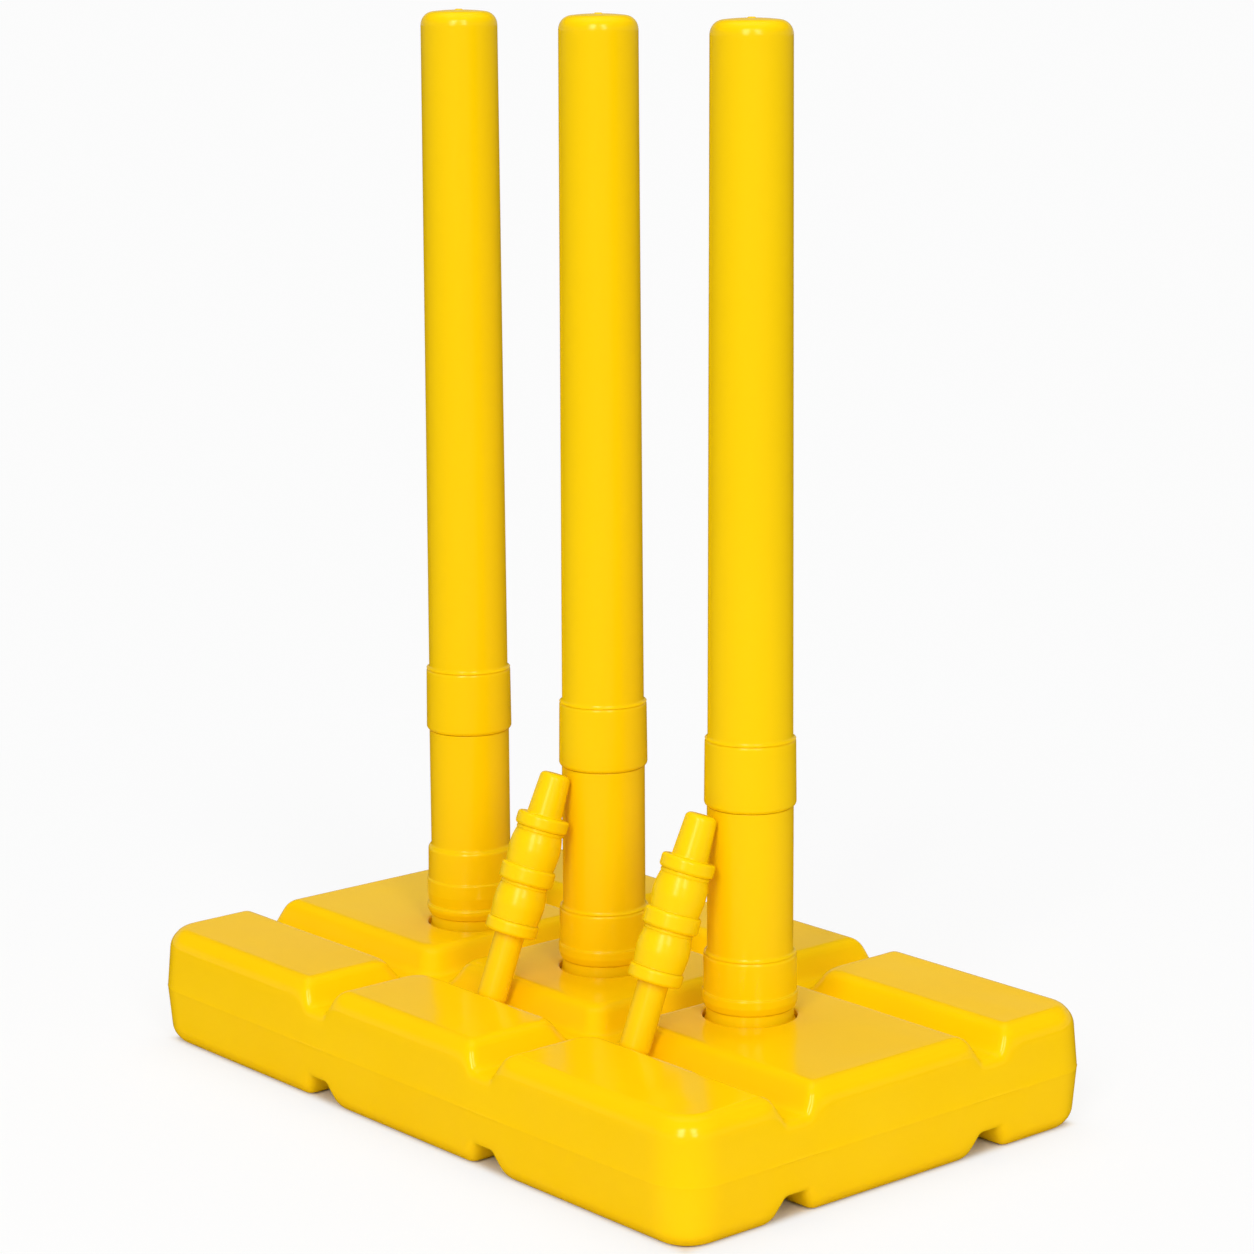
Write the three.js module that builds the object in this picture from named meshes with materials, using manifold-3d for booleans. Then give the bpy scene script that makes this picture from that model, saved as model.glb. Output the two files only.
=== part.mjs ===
// A portable set of cricket stumps in moulded plastic: a hollow base with three sockets, three stumps
// that each come apart at a push-fit collar, and two bails that stand in a groove of the base.
// Millimetres, +Z up. The origin is the middle of the flat underside, and X runs along the stumps.
import * as THREE from 'three';
import { mergeVertices } from 'three/addons/utils/BufferGeometryUtils.js';
import Module from 'manifold-3d';

const wasm = await Module();
wasm.setup();

// Gaps and cutting
const seatGap = 0.3; // between faces that rest on each other
const slideClearance = 0.3; // round a plug or spigot, on the radius
const cutOverrun = 4; // how far a cutter runs past the face that it opens

// Base: outline at the parting plane, which lies at half its height
const baseLength = 372;
const baseWidth = 238;
const baseHeight = 54;
const baseCornerRadius = 20;
const baseEdgeRadius = 8.5;
const baseDraftInset = 2.4; // the top and underside outlines stand in by this on each side
const baseWall = 2.4;
const blowHoleRadius = 3.5;
const blowHoleFromMiddle = 150; // along the back face

// Grooves, on the top and on the underside
const crossGrooveSpacing = 116;
const longGrooveSpacing = 112;
const grooveDepth = 11;
const grooveOpening = 23.2; // between the corners that its walls would make with the top
const grooveWallAngle = THREE.MathUtils.degToRad(50);
const grooveEdgeRadius = 8;
const grooveFloorRadius = 4.6;

// Lower stump: radii
const tubeRadius = 18.3;
const stumpWall = 2;
const plugProud = 1.6; // this and the next four stand out from the tube
const neckProud = 0.4;
const beadProud = 2.4;
const ringProud = 2;
const footCollarProud = 1.6;
const shoulderWidth = 1.7; // the step from the tube in to the spigot

// Lower stump: heights
const stumpSpacing = 95.25;
const socketDepth = 34;
const neckDepth = 7; // how far the neck reaches below the top of the base
const beadLift = 4; // from the top of the base to the bead
const beadHeight = 7;
const footCollarHeight = 16.5;
const jointAboveBase = 91.5; // from the top of the base to the joint between the two halves
const spigotLength = 24;
const softEdge = 1.2; // rounding of the collars' edges

// The left stump has a slimmer bead and a ring above it, so its foot stands taller
const tallBeadHeight = 4.6;
const waistHeight = 1.5;
const ringHeight = 11;
const tallCollarHeight = 15;

// Upper stump
const upperLength = 326.5;
const collarHeight = 29;
const collarWall = 2.6;
const collarTaper = 0.3; // the collar is slimmer at its top by this, on the radius
const collarStep = 1.2; // from the collar in to the tube above it
const upperTaper = 1; // the tube is slimmer at its top by this, on the radius
const topEdgeRadius = 5.5;
const topDomeRise = 1.4;
const pipRadius = 1.8;
const pipHeight = 0.5;

// Bail, named from its foot up
const bailWall = 1.6;
const bailBlowHoleRadius = 2;
const stemRadius = 6.6;
const stemLength = 31;
const stemEndRadius = 2.7;
const flangeRadius = 11.6;
const flangeThickness = 6.1;
const barrelLength = 17.9;
const barrelShoulderRadius = 11.3;
const barrelNeckRadius = 9.7;
const barrelBeadRadius = 10.6;
const barrelBeadHeight = 1.6;
const barrelShoulderDrop = 4; // from the ring or flange above down to the barrel's widest place
const ringRadius = 11.9;
const ringThickness = 5.7;
const flangeEdge = 0.9;
const bailSpigotLength = 19;
const bailSpigotRadius = 7.5;
const bailTipRadius = 6.15;
const bailTipEdge = 1.2;
const bailFootOffset = 9; // each bail stands this far to the left of the stump that it leans on

// Facets
const stumpSides = 24;
const bailSides = 16;
const edgeSteps = 2;
const wideArcSteps = 3;
const cornerSteps = 5;
const settleRounds = 12;

// Sizes that follow from the ones above
const jointZ = baseHeight + jointAboveBase;
const socketFloorZ = baseHeight - socketDepth;
const plugRadius = tubeRadius + plugProud;
const socketRadius = plugRadius + slideClearance;
const beadRadius = tubeRadius + beadProud;
const spigotRadius = tubeRadius - shoulderWidth;
const collarBoreRadius = spigotRadius + slideClearance;
const collarRadius = collarBoreRadius + collarWall;
const grooveY = longGrooveSpacing / 2;
const grooveX = crossGrooveSpacing / 2;
const grooveFloorHalf = grooveOpening / 2 - grooveDepth / Math.tan(grooveWallAngle);

const yellow = { color: 0xfccb05, roughness: 0.32, metalness: 0 };

// Points on an arc about a centre, from one angle to another, both ends included.
function arcPoints(centreX, centreY, radius, fromAngle, toAngle, steps) {
  const points = [];
  for (let step = 0; step <= steps; step += 1) {
    const angle = fromAngle + ((toAngle - fromAngle) * step) / steps;
    const x = centreX + radius * Math.cos(angle);
    const y = centreY + radius * Math.sin(angle);
    points.push(new THREE.Vector2(x, y));
  }
  return points;
}

// Merges the vertices that a geometry repeats, and drops the triangles that this leaves without area.
function weldedGeometry(source) {
  const bare = source.clone();
  bare.deleteAttribute('normal');
  bare.deleteAttribute('uv');
  const welded = mergeVertices(bare);
  const index = welded.getIndex().array;
  const kept = [];
  for (let corner = 0; corner < index.length; corner += 3) {
    const [a, b, c] = [index[corner], index[corner + 1], index[corner + 2]];
    if (a !== b && b !== c && c !== a) {
      kept.push(a, b, c);
    }
  }
  welded.setIndex(kept);
  return welded;
}

function solidOf(geometry) {
  const welded = weldedGeometry(geometry);
  const vertProperties = new Float32Array(welded.getAttribute('position').array);
  const triVerts = new Uint32Array(welded.getIndex().array);
  return new wasm.Manifold(new wasm.Mesh({ numProp: 3, vertProperties, triVerts }));
}

function geometryOf(solid) {
  const mesh = solid.getMesh();
  const geometry = new THREE.BufferGeometry();
  geometry.setAttribute('position', new THREE.BufferAttribute(mesh.vertProperties, 3));
  geometry.setIndex(new THREE.BufferAttribute(mesh.triVerts, 1));
  geometry.computeVertexNormals();
  return geometry;
}

// Turns a profile of (radius, height) points about the Z axis. The profile runs from the axis, round
// the outside and back to the axis.
function turned(profile, sides) {
  const geometry = new THREE.LatheGeometry(profile, sides);
  geometry.rotateX(Math.PI / 2);
  const welded = weldedGeometry(geometry);
  welded.computeVertexNormals();
  return welded;
}

function named(name, geometry) {
  const mesh = new THREE.Mesh(geometry, new THREE.MeshStandardMaterial(yellow));
  mesh.name = name;
  return mesh;
}

// The rounded slab, every face standing in by the inset, with its edges rounded and its sides drawn
// in from the parting plane towards the top and the underside.
function slab(inset) {
  const edge = Math.max(baseEdgeRadius - inset, baseWall / 2);
  const corner = Math.max(baseCornerRadius - inset - edge, baseWall / 2);
  const halfLength = baseLength / 2 - inset - edge;
  const halfWidth = baseWidth / 2 - inset - edge;
  const quarter = Math.PI / 2;
  const outline = new THREE.Shape([
    ...arcPoints(halfLength - corner, halfWidth - corner, corner, 0, quarter, cornerSteps),
    ...arcPoints(corner - halfLength, halfWidth - corner, corner, quarter, 2 * quarter, cornerSteps),
    ...arcPoints(corner - halfLength, corner - halfWidth, corner, 2 * quarter, 3 * quarter, cornerSteps),
    ...arcPoints(halfLength - corner, corner - halfWidth, corner, 3 * quarter, 4 * quarter, cornerSteps),
  ]);
  const geometry = new THREE.ExtrudeGeometry(outline, {
    depth: baseHeight - 2 * inset - 2 * edge,
    steps: 2,
    bevelEnabled: true,
    bevelThickness: edge,
    bevelSize: edge,
    bevelSegments: wideArcSteps,
  });
  geometry.translate(0, 0, inset + edge);
  const place = geometry.getAttribute('position');
  for (let vertex = 0; vertex < place.count; vertex += 1) {
    const draftShare = Math.abs((2 * place.getZ(vertex)) / baseHeight - 1);
    const draft = baseDraftInset * draftShare;
    place.setX(vertex, place.getX(vertex) - Math.sign(place.getX(vertex)) * draft);
    place.setY(vertex, place.getY(vertex) - Math.sign(place.getY(vertex)) * draft);
  }
  return solidOf(geometry);
}

// The section of a groove, with its mouth at height 0, grown by a wall. Its mouth is rounded over
// into the top of the base unless it is grown.
function grooveSection(grow) {
  const half = grooveOpening / 2 + grow / Math.sin(grooveWallAngle);
  const depth = grooveDepth + grow;
  const lip = grow > 0 ? 0 : grooveEdgeRadius;
  const halfTurn = Math.tan(grooveWallAngle / 2);
  const lipX = half + lip * halfTurn;
  const floorHalf = half - depth / Math.tan(grooveWallAngle);
  const fillet = Math.min(grooveFloorRadius, floorHalf / halfTurn);
  const floorX = floorHalf - fillet * halfTurn;
  const down = -Math.PI / 2;
  const up = Math.PI / 2;
  const square = [new THREE.Vector2(-lipX, 0)];
  const rounded = arcPoints(-lipX, -lip, lip, up, up - grooveWallAngle, wideArcSteps);
  const left = [
    new THREE.Vector2(-lipX, cutOverrun),
    ...(lip > 0 ? rounded : square),
    ...arcPoints(-floorX, fillet - depth, fillet, down - grooveWallAngle, down, wideArcSteps),
  ];
  const right = left.map((point) => new THREE.Vector2(-point.x, point.y)).reverse();
  return new THREE.Shape([...left, ...right]);
}

// A straight cutter with the groove's section, along X, centred on the origin.
function grooveCutter(grow) {
  const length = Math.max(baseLength, baseWidth) + 2 * cutOverrun;
  const geometry = new THREE.ExtrudeGeometry(grooveSection(grow), { depth: length, bevelEnabled: false });
  geometry.translate(0, 0, -length / 2);
  geometry.rotateX(Math.PI / 2);
  geometry.rotateZ(Math.PI / 2);
  return geometry;
}

// The four grooves of the top and the four of the underside, joined into one cutter.
function grooves(grow) {
  let all = null;
  for (const side of [-1, 1]) {
    for (const face of [0, 1]) {
      const long = grooveCutter(grow);
      const cross = grooveCutter(grow);
      cross.rotateZ(Math.PI / 2);
      if (face === 0) {
        long.rotateX(Math.PI);
        cross.rotateX(Math.PI);
      }
      long.translate(0, side * grooveY, face * baseHeight);
      cross.translate(side * grooveX, 0, face * baseHeight);
      const pair = solidOf(long).add(solidOf(cross));
      all = all ? all.add(pair) : pair;
    }
  }
  return all;
}

// A round bar at each stump's place, from a height up past the top of the base.
function sockets(radius, floorZ) {
  let all = null;
  for (const place of [-1, 0, 1]) {
    const height = baseHeight + cutOverrun - floorZ;
    const bar = new THREE.CylinderGeometry(radius, radius, height, stumpSides);
    bar.rotateX(Math.PI / 2);
    bar.translate(place * stumpSpacing, 0, floorZ + height / 2);
    const solid = solidOf(bar);
    all = all ? all.add(solid) : solid;
  }
  return all;
}

// The hole in the back face that a hollow moulding is blown through.
function blowHole() {
  const hole = new THREE.CylinderGeometry(blowHoleRadius, blowHoleRadius, baseEdgeRadius * 2, bailSides);
  hole.translate(blowHoleFromMiddle, baseWidth / 2, baseHeight / 2);
  return solidOf(hole);
}

function base() {
  const outside = slab(0).subtract(grooves(0));
  const cups = sockets(socketRadius + baseWall, socketFloorZ - baseWall);
  const hollow = slab(baseWall).subtract(grooves(baseWall)).subtract(cups);
  const body = outside.subtract(sockets(socketRadius, socketFloorZ)).subtract(hollow);
  return named('base', geometryOf(body.subtract(blowHole())));
}

// An outer corner of a profile that goes up: a level face below it, its side above it.
function lowerEdge(radius, z, round) {
  return arcPoints(radius - round, z + round, round, -Math.PI / 2, 0, edgeSteps);
}

// An outer corner of a profile that goes up: its side below it, a level face above it.
function upperEdge(radius, z, round) {
  return arcPoints(radius - round, z - round, round, 0, Math.PI / 2, edgeSteps);
}

// The foot of a stump above the base: a bead with a rounded underside and a collar, or a slim bead,
// a waist, a ring and a collar on the tall one.
function footProfile(tall) {
  const beadZ = baseHeight + beadLift;
  const collar = tubeRadius + footCollarProud;
  if (!tall) {
    const beadTopZ = beadZ + beadHeight;
    return [
      ...lowerEdge(beadRadius, beadZ, beadHeight / 2),
      ...upperEdge(beadRadius, beadTopZ, beadProud - footCollarProud),
      ...upperEdge(collar, beadTopZ + footCollarHeight, softEdge),
    ];
  }
  const beadTopZ = beadZ + tallBeadHeight;
  const ring = tubeRadius + ringProud;
  const ringZ = beadTopZ + waistHeight;
  const ringTopZ = ringZ + ringHeight;
  return [
    ...lowerEdge(beadRadius, beadZ, tallBeadHeight / 2),
    ...upperEdge(beadRadius, beadTopZ, tallBeadHeight / 2),
    new THREE.Vector2(tubeRadius + neckProud, beadTopZ + waistHeight / 2),
    ...lowerEdge(ring, ringZ, softEdge),
    ...upperEdge(ring, ringTopZ, ringProud - footCollarProud),
    ...upperEdge(collar, ringTopZ + tallCollarHeight, softEdge),
  ];
}

function footTopZ(tall) {
  const plainTop = beadHeight + footCollarHeight;
  const tallTop = tallBeadHeight + waistHeight + ringHeight + tallCollarHeight;
  return baseHeight + beadLift + (tall ? tallTop : plainTop);
}

// A tube closed at its foot and open at its spigot.
function lowerStump(name, tall) {
  const footZ = socketFloorZ + seatGap;
  const shoulderZ = jointZ - seatGap;
  const spigotTopZ = shoulderZ + spigotLength;
  const neckZ = baseHeight - neckDepth;
  const bore = tubeRadius - stumpWall;
  const spigotBore = spigotRadius - stumpWall;
  const profile = [
    new THREE.Vector2(0, footZ),
    ...lowerEdge(plugRadius, footZ, softEdge),
    ...upperEdge(plugRadius, neckZ, softEdge),
    new THREE.Vector2(tubeRadius + neckProud, neckZ),
    new THREE.Vector2(tubeRadius + neckProud, baseHeight + beadLift),
    ...footProfile(tall),
    new THREE.Vector2(tubeRadius, footTopZ(tall)),
    ...upperEdge(tubeRadius, shoulderZ, seatGap),
    new THREE.Vector2(spigotRadius, shoulderZ),
    ...upperEdge(spigotRadius, spigotTopZ, stumpWall / 2),
    new THREE.Vector2(spigotBore, spigotTopZ),
    new THREE.Vector2(spigotBore, shoulderZ - stumpWall),
    new THREE.Vector2(bore, shoulderZ - stumpWall - (bore - spigotBore)),
    new THREE.Vector2(bore, footZ + stumpWall),
    new THREE.Vector2(0, footZ + stumpWall),
  ];
  return named(name, turned(profile, stumpSides));
}

// A tube closed by a shallow dome at its top and open at its collar.
function upperStump(name) {
  const topZ = jointZ + upperLength - pipHeight;
  const edgeZ = topZ - topDomeRise;
  const collarTopZ = jointZ + collarHeight;
  const collarTop = collarRadius - collarTaper;
  const root = collarTop - collarStep;
  const top = root - upperTaper;
  const socketTopZ = jointZ + spigotLength + stumpWall;
  const profile = [
    new THREE.Vector2(0, topZ - topDomeRise - stumpWall),
    new THREE.Vector2(top - stumpWall, edgeZ - topEdgeRadius),
    new THREE.Vector2(root - stumpWall, collarTopZ),
    new THREE.Vector2(root - stumpWall, socketTopZ),
    new THREE.Vector2(collarBoreRadius, socketTopZ),
    new THREE.Vector2(collarBoreRadius, jointZ),
    ...lowerEdge(collarRadius, jointZ, softEdge),
    ...upperEdge(collarTop, collarTopZ, softEdge),
    new THREE.Vector2(root, collarTopZ),
    ...arcPoints(top - topEdgeRadius, edgeZ - topEdgeRadius, topEdgeRadius, 0, Math.PI / 2, wideArcSteps),
    new THREE.Vector2(pipRadius, topZ),
    new THREE.Vector2(pipRadius / 2, topZ + pipHeight),
    new THREE.Vector2(0, topZ + pipHeight),
  ];
  return named(name, turned(profile, stumpSides));
}

// Heights of a bail's collars above its foot.
const flangeLowZ = stemLength;
const barrelLowZ = flangeLowZ + flangeThickness;
const bailRingZ = barrelLowZ + barrelLength;
const barrelHighZ = bailRingZ + ringThickness;
const flangeHighZ = barrelHighZ + barrelLength;
const bailSpigotZ = flangeHighZ + flangeThickness;
const bailLength = bailSpigotZ + bailSpigotLength;

// One barrel of a bail, widest near its top, with a small bead under what is above it.
function barrelProfile(z) {
  const topZ = z + barrelLength;
  return [
    new THREE.Vector2(barrelNeckRadius, z),
    new THREE.Vector2((barrelNeckRadius + barrelShoulderRadius) / 2, z + barrelLength / 3),
    new THREE.Vector2(barrelShoulderRadius, topZ - barrelBeadHeight - barrelShoulderDrop),
    new THREE.Vector2(barrelBeadRadius, topZ - barrelBeadHeight - barrelShoulderDrop / 3),
    new THREE.Vector2(barrelNeckRadius, topZ - barrelBeadHeight),
    new THREE.Vector2(barrelBeadRadius, topZ - barrelBeadHeight / 2),
    new THREE.Vector2(barrelNeckRadius, topZ),
  ];
}

function bailCollarProfile(radius, z, thickness) {
  return [...lowerEdge(radius, z, flangeEdge), ...upperEdge(radius, z + thickness, flangeEdge)];
}

// The bail stands on the origin along +Z. It is blown hollow through its foot.
function bailGeometry() {
  const stemBore = stemRadius - bailWall;
  const barrelBore = barrelNeckRadius - bailWall;
  const tipBore = bailTipRadius - bailWall;
  const profile = [
    new THREE.Vector2(bailBlowHoleRadius, bailWall),
    new THREE.Vector2(bailBlowHoleRadius, 0),
    ...lowerEdge(stemRadius, 0, stemEndRadius),
    new THREE.Vector2(stemRadius, flangeLowZ),
    ...bailCollarProfile(flangeRadius, flangeLowZ, flangeThickness),
    ...barrelProfile(barrelLowZ),
    ...bailCollarProfile(ringRadius, bailRingZ, ringThickness),
    ...barrelProfile(barrelHighZ),
    ...bailCollarProfile(flangeRadius, flangeHighZ, flangeThickness),
    new THREE.Vector2(bailSpigotRadius, bailSpigotZ),
    ...upperEdge(bailTipRadius, bailLength, bailTipEdge),
    new THREE.Vector2(0, bailLength),
    new THREE.Vector2(0, bailLength - bailWall),
    new THREE.Vector2(tipBore, bailLength - bailWall),
    new THREE.Vector2(tipBore, bailSpigotZ),
    new THREE.Vector2(barrelBore, flangeHighZ),
    new THREE.Vector2(barrelBore, barrelLowZ),
    new THREE.Vector2(stemBore, flangeLowZ),
    new THREE.Vector2(stemBore, bailWall),
    new THREE.Vector2(bailBlowHoleRadius, bailWall),
  ];
  return turned(profile, bailSides);
}

// The stump's outer radius at a height, taken at the widest thing there.
function stumpRadiusAt(z) {
  if (z > jointZ - seatGap) {
    return collarRadius;
  }
  return z < footTopZ(false) ? beadRadius : tubeRadius;
}

// Where the middle of a bail's rounded foot comes to rest between the walls of the front groove, for
// a bail along the given direction. The rounded end is a disc grown by its edge radius.
function footRest(direction) {
  const disc = stemRadius - stemEndRadius;
  const reach = (normal) => {
    const along = normal.dot(direction);
    return disc * Math.sqrt(Math.max(1 - along * along, 0)) + stemEndRadius + seatGap;
  };
  const sine = Math.sin(grooveWallAngle);
  const cosine = Math.cos(grooveWallAngle);
  const front = reach(new THREE.Vector3(0, sine, cosine)) - grooveFloorHalf * sine;
  const back = reach(new THREE.Vector3(0, -sine, cosine)) - grooveFloorHalf * sine;
  const wedgedHeight = (front + back) / (2 * cosine);
  const floorHeight = reach(new THREE.Vector3(0, 0, 1));
  return {
    y: (front - back) / (2 * sine) - grooveY,
    z: baseHeight - grooveDepth + Math.max(wedgedHeight, floorHeight),
  };
}

// The angle from upright at which a bail's round edge touches the stump, or a right angle for an edge
// so low that it never reaches it.
function leanToTouch(edge, footDistance, footZ, lean) {
  const along = edge.z - edge.round - stemEndRadius;
  const radius = edge.radius - edge.round;
  const edgeZ = footZ + along * Math.cos(lean) - radius * Math.sin(lean) + edge.round;
  const across = footDistance - stumpRadiusAt(edgeZ) - seatGap - edge.round;
  const reachShare = across / Math.hypot(along, radius);
  return reachShare < 1 ? Math.asin(reachShare) - Math.atan2(radius, along) : Math.PI / 2;
}

// A bail stands with its foot in the front groove and leans straight at a stump until its tip, or
// one of its collars, touches. Foot and lean depend on each other, so they are settled in rounds.
function bail(name, stumpX) {
  const edges = [
    { z: bailLength, radius: bailTipRadius, round: bailTipEdge },
    { z: bailSpigotZ, radius: flangeRadius, round: flangeEdge },
    { z: barrelHighZ, radius: ringRadius, round: flangeEdge },
    { z: barrelLowZ, radius: flangeRadius, round: flangeEdge },
  ];
  const direction = new THREE.Vector3(0, 0, 1);
  const foot = new THREE.Vector3(stumpX - bailFootOffset, 0, 0);
  let lean = 0;
  for (let round = 0; round < settleRounds; round += 1) {
    const rest = footRest(direction);
    foot.y = rest.y;
    foot.z = rest.z;
    const heading = new THREE.Vector3(stumpX - foot.x, -foot.y, 0);
    const footDistance = heading.length();
    heading.normalize();
    const leans = edges.map((edge) => leanToTouch(edge, footDistance, foot.z, lean));
    lean = Math.min(...leans);
    direction.copy(heading).multiplyScalar(Math.sin(lean));
    direction.z = Math.cos(lean);
  }
  const mesh = named(name, bailGeometry());
  mesh.quaternion.setFromUnitVectors(new THREE.Vector3(0, 0, 1), direction);
  mesh.position.copy(foot).addScaledVector(direction, -stemEndRadius);
  return mesh;
}

function stump(side, place, tall) {
  const group = new THREE.Group();
  group.add(lowerStump(`lower_stump_${side}`, tall));
  group.add(upperStump(`upper_stump_${side}`));
  group.position.x = place * stumpSpacing;
  return group;
}

const cricketStumps = new THREE.Group();
cricketStumps.add(base());
cricketStumps.add(stump('left', -1, true));
cricketStumps.add(stump('middle', 0, false));
cricketStumps.add(stump('right', 1, false));
cricketStumps.add(bail('bail_left', 0));
cricketStumps.add(bail('bail_right', stumpSpacing));

export default cricketStumps;
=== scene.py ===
# Portable cricket stumps in yellow moulded plastic: a grooved hollow base, three stumps that come apart
# at a collar, and two bails that stand in a groove. Sizes are in millimetres until a mesh is made.
import math
import bmesh
import bpy
import numpy as np
from mathutils import Matrix, Vector


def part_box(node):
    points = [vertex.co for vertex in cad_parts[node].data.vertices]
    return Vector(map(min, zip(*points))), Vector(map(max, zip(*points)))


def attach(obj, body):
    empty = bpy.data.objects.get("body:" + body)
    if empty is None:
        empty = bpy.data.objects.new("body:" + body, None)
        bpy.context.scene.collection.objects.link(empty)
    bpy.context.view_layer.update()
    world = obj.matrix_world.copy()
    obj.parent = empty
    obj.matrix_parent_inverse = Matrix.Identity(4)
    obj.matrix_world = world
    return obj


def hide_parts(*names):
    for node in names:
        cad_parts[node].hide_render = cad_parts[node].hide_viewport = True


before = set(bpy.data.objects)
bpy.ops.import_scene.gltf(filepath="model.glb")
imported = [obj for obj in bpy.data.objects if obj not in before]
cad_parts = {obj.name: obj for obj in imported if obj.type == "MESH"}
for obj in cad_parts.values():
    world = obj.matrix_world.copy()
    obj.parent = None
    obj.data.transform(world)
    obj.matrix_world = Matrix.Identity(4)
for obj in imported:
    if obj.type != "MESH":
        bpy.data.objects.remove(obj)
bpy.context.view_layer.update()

MM = 0.001

# Base
BASE_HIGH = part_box("base")[1] / MM
PARTING_RIDGE = 0.1
HALF_LENGTH = BASE_HIGH.x - PARTING_RIDGE
HALF_WIDTH = BASE_HIGH.y - PARTING_RIDGE
BASE_HEIGHT = BASE_HIGH.z
MID_HEIGHT = BASE_HEIGHT / 2
CORNER = 20
EDGE = 8.5
DRAFT_INSET = 2.4
GROOVE_X = 58
GROOVE_Y = 56
GROOVE_DEPTH = 11
GROOVE_HALF = 11.6
GROOVE_ANGLE = math.radians(59)
GROOVE_LIP = 6.5
GROOVE_FILLET = 3
GROOVE_FLARE = 6
GROOVE_EDGE_POWER = 3
# Half width of a groove's mouth, the run of its wall, and half width of its flat floor
GROOVE_MOUTH = GROOVE_HALF + GROOVE_LIP * math.tan(GROOVE_ANGLE / 2)
GROOVE_WALL_RUN = GROOVE_DEPTH / math.tan(GROOVE_ANGLE)
GROOVE_FLOOR = GROOVE_HALF - GROOVE_WALL_RUN - GROOVE_FILLET * math.tan(GROOVE_ANGLE / 2)
BLOCK_CORNER = 8
SOCKET_RADIUS = 20.2
SOCKET_RIM = 0.9
SOCKET_DEPTH = 34
BLOW_HOLE_X = 150
BLOW_HOLE_RADIUS = 3.5
BLOW_HOLE_RIM = 0.7
BLOW_HOLE_DEPTH = 12
PATCH_HALF_Y = 24
PATCH_HALF_BLOW = 8
WAVE_HEIGHT = 0.12
WAVE_START = 1
WAVE_X = 23
WAVE_Y = 19
WAVE_Z = 31

# Stumps
STUMPS = {
    side: (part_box(f"upper_stump_{side}")[0].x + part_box(f"upper_stump_{side}")[1].x) / 2 / MM
    for side in ("left", "middle", "right")
}
JOINT_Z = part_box("upper_stump_middle")[0].z / MM
TOP_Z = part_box("upper_stump_middle")[1].z / MM
PLUG_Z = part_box("lower_stump_middle")[0].z / MM
SPIGOT_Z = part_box("lower_stump_middle")[1].z / MM
STUMP_EDGE = 2
STUMP_FILLET = 1.6
# Rise of the small slope from one diameter to the next
LEDGE = 0.3

# Lower stumps: plug, neck, bead, collar, tube and spigot
TUBE = 18.3
PLUG = 19.9
PLUG_EDGE = 1.2
NECK = 18.7
NECK_TOP_DEPTH = 1.5
NECK_TAPER_BELOW = 1.6
NECK_TAPER_ABOVE = 0.4
NECK_TAPER_FOOT = 0.2
NECK_TAPER_FILLET = 0.8
NECK_FILLET = 0.6
BEAD = 20.7
BEAD_LIFT = 4
BEAD_HEIGHT = 7
BEAD_UNDERCUT = 1.2
BEAD_EDGE = 1.2
BEAD_INSET = 0.25
BEAD_SLOPE = 3.4
BEAD_SLOPE_ROUND = 3
FOOT_COLLAR = 19.9
FOOT_COLLAR_HEIGHT = 16.5
FOOT_COLLAR_FILLET = 0.8
SEAT_GAP = 0.05
SHOULDER_EDGE = 0.3
SHOULDER_FILLET = 0.4
SPIGOT = 16.6
SPIGOT_WALL = 2
SPIGOT_EDGE = 0.9
SPIGOT_BORE_EDGE = 0.3

# Left lower stump: a lower bead with an extra ring above it
TALL_BEAD_HEIGHT = 5.1
TALL_BEAD_SLOPE = 3
TALL_BEAD_SLOPE_ROUND = 2.4
RING = 20.5
RING_HEIGHT = 12
RING_FULL_HEIGHT = 6.5
RING_TAPER = 0.75
RING_TAPER_ROUND = 3
RING_LEDGE = 0.4
RING_FILLET = 0.5
RING_EDGE = 0.8
TALL_COLLAR_HEIGHT = 15
TALL_COLLAR_TAPER = 0.2
TALL_COLLAR_LEDGE = 0.8

# Upper stumps: collar, tube, domed top and pip
COLLAR_BORE = 16.9
COLLAR_BORE_EDGE = 0.4
COLLAR = 19.5
COLLAR_TOP = 19.2
COLLAR_HEIGHT = 29
COLLAR_BORE_HEIGHT = 26
TUBE_ROOT = 18.0
TUBE_TOP = 17.0
TOP_EDGE = 6
DOME_REACH = 11
DOME_RISE = 0.6
DOME_MIDDLE = 3
DOME_STEP = 1.5
PIP_RADIUS = 1.8
PIP_HEIGHT = 0.35
PIP_TAPER = 0.4
PIP_EDGE = 0.3

# Bails, from the foot up
STEM = 6.6
STEM_LENGTH = 31
STEM_END = 2.7
STEM_FILLET = 0.6
FLANGE = 11.6
FLANGE_THICKNESS = 6.1
BARREL_LENGTH = 16.95
BARREL_FOOT = 10.6
BARREL_FOOT_EDGE = 0.3
BARREL_FOOT_HEIGHT = 1.2
BARREL_FOOT_ROUND = 1
BARREL_BELLY = 11.5
BELLY_LOW_HEIGHT = 7
BELLY_LOW_ROUND = 12
BELLY_HIGH_DEPTH = 5.6
BELLY_HIGH_ROUND = 6
BARREL_NECK = 10.1
BARREL_NECK_DEPTH = 2
BARREL_NECK_ROUND = 1.2
BARREL_BEAD = 10.5
BARREL_BEAD_SLOPE_DEPTH = 1.7
BARREL_BEAD_LOW_DEPTH = 1.3
BARREL_BEAD_HIGH_DEPTH = 0.5
BARREL_BEAD_EDGE = 0.3
BARREL_TAPER = 0.3
BARREL_FILLET = 0.2
BAIL_RING = 12.1
BAIL_RING_THICKNESS = 7.6
BAIL_EDGE = 1.5
BAIL_SPIGOT = 7.8
BAIL_SPIGOT_FILLET = 0.8
BAIL_TIP = 6.7
BAIL_LENGTH = 103.7
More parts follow.
